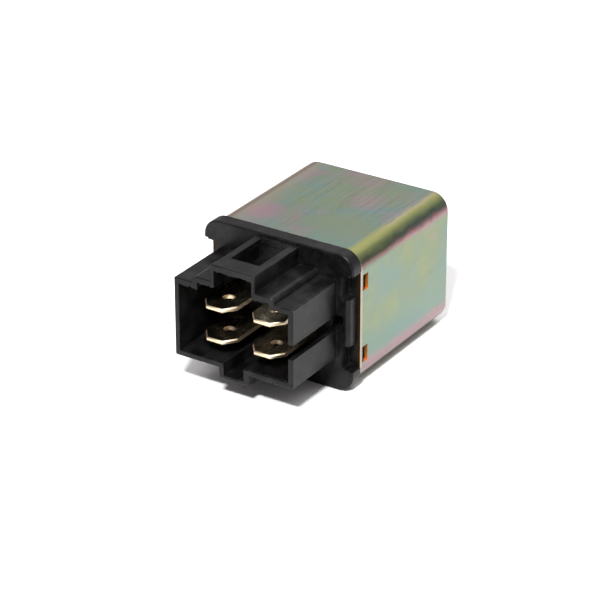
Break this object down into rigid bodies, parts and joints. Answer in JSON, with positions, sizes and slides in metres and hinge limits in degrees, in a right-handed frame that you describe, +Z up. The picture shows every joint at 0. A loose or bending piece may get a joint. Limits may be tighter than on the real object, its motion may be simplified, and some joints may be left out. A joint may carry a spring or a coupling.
{
  "type": "plug-in relay",
  "caption": "Plug-in relay: moulded connector shroud with flat tabs, latch bridge and code slot, a drawn steel can, and a hinged-armature relay inside.",
  "frame": {"origin": "on the surface the relay lies on, under the middle of its overall box", "axes": "+X right seen from the connector, +Y from the connector to the closed end of the can, +Z up"},
  "size_m": [0.0296, 0.045, 0.0253],
  "materials": {
    "base_plastic": "satin moulded, charcoal black",
    "can_zinc": "yellow passivated zinc plate with iridescent tints",
    "brass_tab": "stamped, bright",
    "zinc_iron": "zinc plated soft iron",
    "bobbin_plastic": "natural moulded nylon",
    "enamelled_copper": "enamelled copper wire, wound",
    "coil_tape": "polyester tape",
    "copper_leaf": "rolled copper alloy",
    "contact_silver": "silver alloy, worn matt",
    "spring_steel": "drawn spring wire",
    "copper_braid": "fine braided copper",
    "resistor_body": "lacquered body",
    "tinned_wire": "tinned copper wire"
  },
  "bodies": {
    "root": {"base": "base_plastic", "can_cover": "can_zinc", "terminal_common": "brass_tab", "terminal_output": "brass_tab", "terminal_coil_a": "brass_tab", "terminal_coil_b": "brass_tab", "yoke": "zinc_iron", "core": "zinc_iron", "bobbin": "bobbin_plastic", "coil_winding": "enamelled_copper", "coil_tape": "coil_tape", "fixed_contact": "contact_silver", "backstop": "zinc_iron", "return_spring": "spring_steel", "pigtail": "copper_braid", "suppression_resistor": "resistor_body", "resistor_leads": "tinned_wire", "coil_leads": "enamelled_copper"},
    "armature": {"armature": "zinc_iron", "contact_arm": "copper_leaf", "arm_rivets": "copper_leaf", "moving_contact": "contact_silver"}
  },
  "joints": [
    {"name": "armature_hinge", "type": "hinge", "parent": "root", "child": "armature", "pos_m": [-0.0112, 0.017, 0.01275], "axis": [0, 0, -1], "range_deg": [0, 2.4], "stiffness_Nm_per_rad": 0.01, "springref_deg": -17.19, "deforming": ["return_spring", "pigtail"]}
  ]
}
